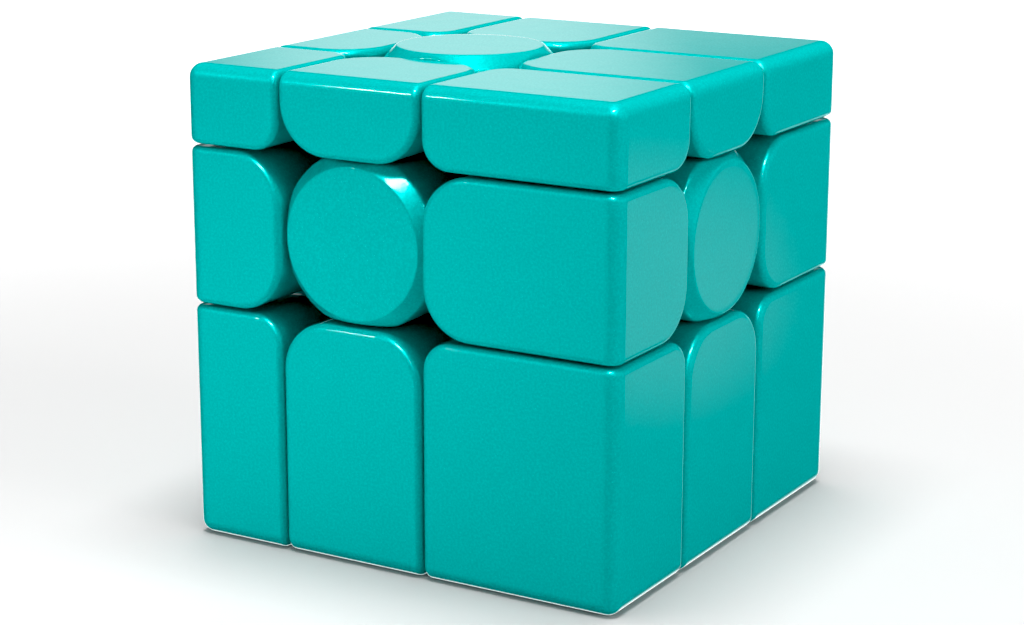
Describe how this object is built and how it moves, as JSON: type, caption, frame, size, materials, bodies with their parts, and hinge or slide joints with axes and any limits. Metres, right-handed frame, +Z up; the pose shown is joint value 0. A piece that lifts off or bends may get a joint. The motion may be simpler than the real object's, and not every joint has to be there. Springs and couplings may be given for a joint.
{
  "type": "uneven-layer twisty cube puzzle",
  "caption": "Three-layer twisty cube whose outer layers all have different thicknesses, with a screwed core, sprung centers and interlocking feet.",
  "frame": {"origin": "middle of the face the cube stands on", "axes": "+Z up, the thin layer on top; -Y is the front; +X is to the right, toward the thickest side layer"},
  "size_m": [0.057, 0.057, 0.0576],
  "materials": {
    "teal_lacquer": "glossy teal lacquer with fine pale flakes under a clear coat",
    "mechanism_plastic": "moulded black plastic",
    "core_plastic": "moulded white plastic",
    "spring_steel": "bright zinc-plated steel"
  },
  "bodies": {
    "core": {"core": "core_plastic", "screws": "spring_steel", "springs": "spring_steel", "washers": "spring_steel"},
    "bottom_front_left_corner": {"bottom_front_left_corner_foot": "mechanism_plastic", "bottom_front_left_corner_shell": "teal_lacquer"},
    "front_left_edge": {"front_left_edge_foot": "mechanism_plastic", "front_left_edge_shell": "teal_lacquer"},
    "top_front_left_corner": {"top_front_left_corner_foot": "mechanism_plastic", "top_front_left_corner_shell": "teal_lacquer"},
    "bottom_left_edge": {"bottom_left_edge_foot": "mechanism_plastic", "bottom_left_edge_shell": "teal_lacquer"},
    "left_center": {"left_center_body": "mechanism_plastic", "left_center_cap": "teal_lacquer"},
    "top_left_edge": {"top_left_edge_foot": "mechanism_plastic", "top_left_edge_shell": "teal_lacquer"},
    "bottom_back_left_corner": {"bottom_back_left_corner_foot": "mechanism_plastic", "bottom_back_left_corner_shell": "teal_lacquer"},
    "back_left_edge": {"back_left_edge_foot": "mechanism_plastic", "back_left_edge_shell": "teal_lacquer"},
    "top_back_left_corner": {"top_back_left_corner_foot": "mechanism_plastic", "top_back_left_corner_shell": "teal_lacquer"},
    "bottom_front_edge": {"bottom_front_edge_foot": "mechanism_plastic", "bottom_front_edge_shell": "teal_lacquer"},
    "front_center": {"front_center_body": "mechanism_plastic", "front_center_cap": "teal_lacquer"},
    "top_front_edge": {"top_front_edge_foot": "mechanism_plastic", "top_front_edge_shell": "teal_lacquer"},
    "bottom_center": {"bottom_center_body": "mechanism_plastic", "bottom_center_cap": "teal_lacquer"},
    "top_center": {"top_center_body": "mechanism_plastic", "top_center_cap": "teal_lacquer"},
    "bottom_back_edge": {"bottom_back_edge_foot": "mechanism_plastic", "bottom_back_edge_shell": "teal_lacquer"},
    "back_center": {"back_center_body": "mechanism_plastic", "back_center_cap": "teal_lacquer"},
    "top_back_edge": {"top_back_edge_foot": "mechanism_plastic", "top_back_edge_shell": "teal_lacquer"},
    "bottom_front_right_corner": {"bottom_front_right_corner_foot": "mechanism_plastic", "bottom_front_right_corner_shell": "teal_lacquer"},
    "front_right_edge": {"front_right_edge_foot": "mechanism_plastic", "front_right_edge_shell": "teal_lacquer"},
    "top_front_right_corner": {"top_front_right_corner_foot": "mechanism_plastic", "top_front_right_corner_shell": "teal_lacquer"},
    "bottom_right_edge": {"bottom_right_edge_foot": "mechanism_plastic", "bottom_right_edge_shell": "teal_lacquer"},
    "right_center": {"right_center_body": "mechanism_plastic", "right_center_cap": "teal_lacquer"},
    "top_right_edge": {"top_right_edge_foot": "mechanism_plastic", "top_right_edge_shell": "teal_lacquer"},
    "bottom_back_right_corner": {"bottom_back_right_corner_foot": "mechanism_plastic", "bottom_back_right_corner_shell": "teal_lacquer"},
    "back_right_edge": {"back_right_edge_foot": "mechanism_plastic", "back_right_edge_shell": "teal_lacquer"},
    "top_back_right_corner": {"top_back_right_corner_foot": "mechanism_plastic", "top_back_right_corner_shell": "teal_lacquer"}
  },
  "joints": [
    {"name": "left_turn", "type": "hinge", "parent": "core", "child": "left_center", "pos_m": [-0.006, -0.002, 0.038], "axis": [1, 0, 0], "continuous": true},
    {"name": "front_turn", "type": "hinge", "parent": "core", "child": "front_center", "pos_m": [-0.006, -0.002, 0.038], "axis": [0, 1, 0], "continuous": true},
    {"name": "bottom_turn", "type": "hinge", "parent": "core", "child": "bottom_center", "pos_m": [-0.006, -0.002, 0.038], "axis": [0, 0, 1], "continuous": true},
    {"name": "top_turn", "type": "hinge", "parent": "core", "child": "top_center", "pos_m": [-0.006, -0.002, 0.038], "axis": [0, 0, 1], "continuous": true},
    {"name": "back_turn", "type": "hinge", "parent": "core", "child": "back_center", "pos_m": [-0.006, -0.002, 0.038], "axis": [0, 1, 0], "continuous": true},
    {"name": "right_turn", "type": "hinge", "parent": "core", "child": "right_center", "pos_m": [-0.006, -0.002, 0.038], "axis": [1, 0, 0], "continuous": true},
    {"name": "front_left_edge_front_turn", "type": "hinge", "parent": "left_center", "child": "front_left_edge", "pos_m": [-0.006, -0.002, 0.038], "axis": [0, 1, 0], "continuous": true},
    {"name": "bottom_left_edge_left_turn", "type": "hinge", "parent": "bottom_center", "child": "bottom_left_edge", "pos_m": [-0.006, -0.002, 0.038], "axis": [1, 0, 0], "continuous": true},
    {"name": "top_left_edge_left_turn", "type": "hinge", "parent": "top_center", "child": "top_left_edge", "pos_m": [-0.006, -0.002, 0.038], "axis": [1, 0, 0], "continuous": true},
    {"name": "back_left_edge_back_turn", "type": "hinge", "parent": "left_center", "child": "back_left_edge", "pos_m": [-0.006, -0.002, 0.038], "axis": [0, 1, 0], "continuous": true},
    {"name": "bottom_front_edge_bottom_turn", "type": "hinge", "parent": "front_center", "child": "bottom_front_edge", "pos_m": [-0.006, -0.002, 0.038], "axis": [0, 0, 1], "continuous": true},
    {"name": "top_front_edge_top_turn", "type": "hinge", "parent": "front_center", "child": "top_front_edge", "pos_m": [-0.006, -0.002, 0.038], "axis": [0, 0, 1], "continuous": true},
    {"name": "bottom_back_edge_bottom_turn", "type": "hinge", "parent": "back_center", "child": "bottom_back_edge", "pos_m": [-0.006, -0.002, 0.038], "axis": [0, 0, 1], "continuous": true},
    {"name": "top_back_edge_top_turn", "type": "hinge", "parent": "back_center", "child": "top_back_edge", "pos_m": [-0.006, -0.002, 0.038], "axis": [0, 0, 1], "continuous": true},
    {"name": "front_right_edge_front_turn", "type": "hinge", "parent": "right_center", "child": "front_right_edge", "pos_m": [-0.006, -0.002, 0.038], "axis": [0, 1, 0], "continuous": true},
    {"name": "bottom_right_edge_right_turn", "type": "hinge", "parent": "bottom_center", "child": "bottom_right_edge", "pos_m": [-0.006, -0.002, 0.038], "axis": [1, 0, 0], "continuous": true},
    {"name": "top_right_edge_right_turn", "type": "hinge", "parent": "top_center", "child": "top_right_edge", "pos_m": [-0.006, -0.002, 0.038], "axis": [1, 0, 0], "continuous": true},
    {"name": "back_right_edge_back_turn", "type": "hinge", "parent": "right_center", "child": "back_right_edge", "pos_m": [-0.006, -0.002, 0.038], "axis": [0, 1, 0], "continuous": true},
    {"name": "bottom_front_left_corner_front_turn", "type": "hinge", "parent": "bottom_left_edge", "child": "bottom_front_left_corner", "pos_m": [-0.006, -0.002, 0.038], "axis": [0, 1, 0], "continuous": true},
    {"name": "top_front_left_corner_front_turn", "type": "hinge", "parent": "top_left_edge", "child": "top_front_left_corner", "pos_m": [-0.006, -0.002, 0.038], "axis": [0, 1, 0], "continuous": true},
    {"name": "bottom_back_left_corner_back_turn", "type": "hinge", "parent": "bottom_left_edge", "child": "bottom_back_left_corner", "pos_m": [-0.006, -0.002, 0.038], "axis": [0, 1, 0], "continuous": true},
    {"name": "top_back_left_corner_back_turn", "type": "hinge", "parent": "top_left_edge", "child": "top_back_left_corner", "pos_m": [-0.006, -0.002, 0.038], "axis": [0, 1, 0], "continuous": true},
    {"name": "bottom_front_right_corner_front_turn", "type": "hinge", "parent": "bottom_right_edge", "child": "bottom_front_right_corner", "pos_m": [-0.006, -0.002, 0.038], "axis": [0, 1, 0], "continuous": true},
    {"name": "top_front_right_corner_front_turn", "type": "hinge", "parent": "top_right_edge", "child": "top_front_right_corner", "pos_m": [-0.006, -0.002, 0.038], "axis": [0, 1, 0], "continuous": true},
    {"name": "bottom_back_right_corner_back_turn", "type": "hinge", "parent": "bottom_right_edge", "child": "bottom_back_right_corner", "pos_m": [-0.006, -0.002, 0.038], "axis": [0, 1, 0], "continuous": true},
    {"name": "top_back_right_corner_back_turn", "type": "hinge", "parent": "top_right_edge", "child": "top_back_right_corner", "pos_m": [-0.006, -0.002, 0.038], "axis": [0, 1, 0], "continuous": true}
  ],
  "couplings": [
    {"joint": "front_left_edge_front_turn", "follows": "front_turn", "ratio": 1},
    {"joint": "bottom_left_edge_left_turn", "follows": "left_turn", "ratio": 1},
    {"joint": "top_left_edge_left_turn", "follows": "left_turn", "ratio": 1},
    {"joint": "back_left_edge_back_turn", "follows": "back_turn", "ratio": 1},
    {"joint": "bottom_front_edge_bottom_turn", "follows": "bottom_turn", "ratio": 1},
    {"joint": "top_front_edge_top_turn", "follows": "top_turn", "ratio": 1},
    {"joint": "bottom_back_edge_bottom_turn", "follows": "bottom_turn", "ratio": 1},
    {"joint": "top_back_edge_top_turn", "follows": "top_turn", "ratio": 1},
    {"joint": "front_right_edge_front_turn", "follows": "front_turn", "ratio": 1},
    {"joint": "bottom_right_edge_right_turn", "follows": "right_turn", "ratio": 1},
    {"joint": "top_right_edge_right_turn", "follows": "right_turn", "ratio": 1},
    {"joint": "back_right_edge_back_turn", "follows": "back_turn", "ratio": 1},
    {"joint": "bottom_front_left_corner_front_turn", "follows": "front_turn", "ratio": 1},
    {"joint": "top_front_left_corner_front_turn", "follows": "front_turn", "ratio": 1},
    {"joint": "bottom_back_left_corner_back_turn", "follows": "back_turn", "ratio": 1},
    {"joint": "top_back_left_corner_back_turn", "follows": "back_turn", "ratio": 1},
    {"joint": "bottom_front_right_corner_front_turn", "follows": "front_turn", "ratio": 1},
    {"joint": "top_front_right_corner_front_turn", "follows": "front_turn", "ratio": 1},
    {"joint": "bottom_back_right_corner_back_turn", "follows": "back_turn", "ratio": 1},
    {"joint": "top_back_right_corner_back_turn", "follows": "back_turn", "ratio": 1}
  ]
}
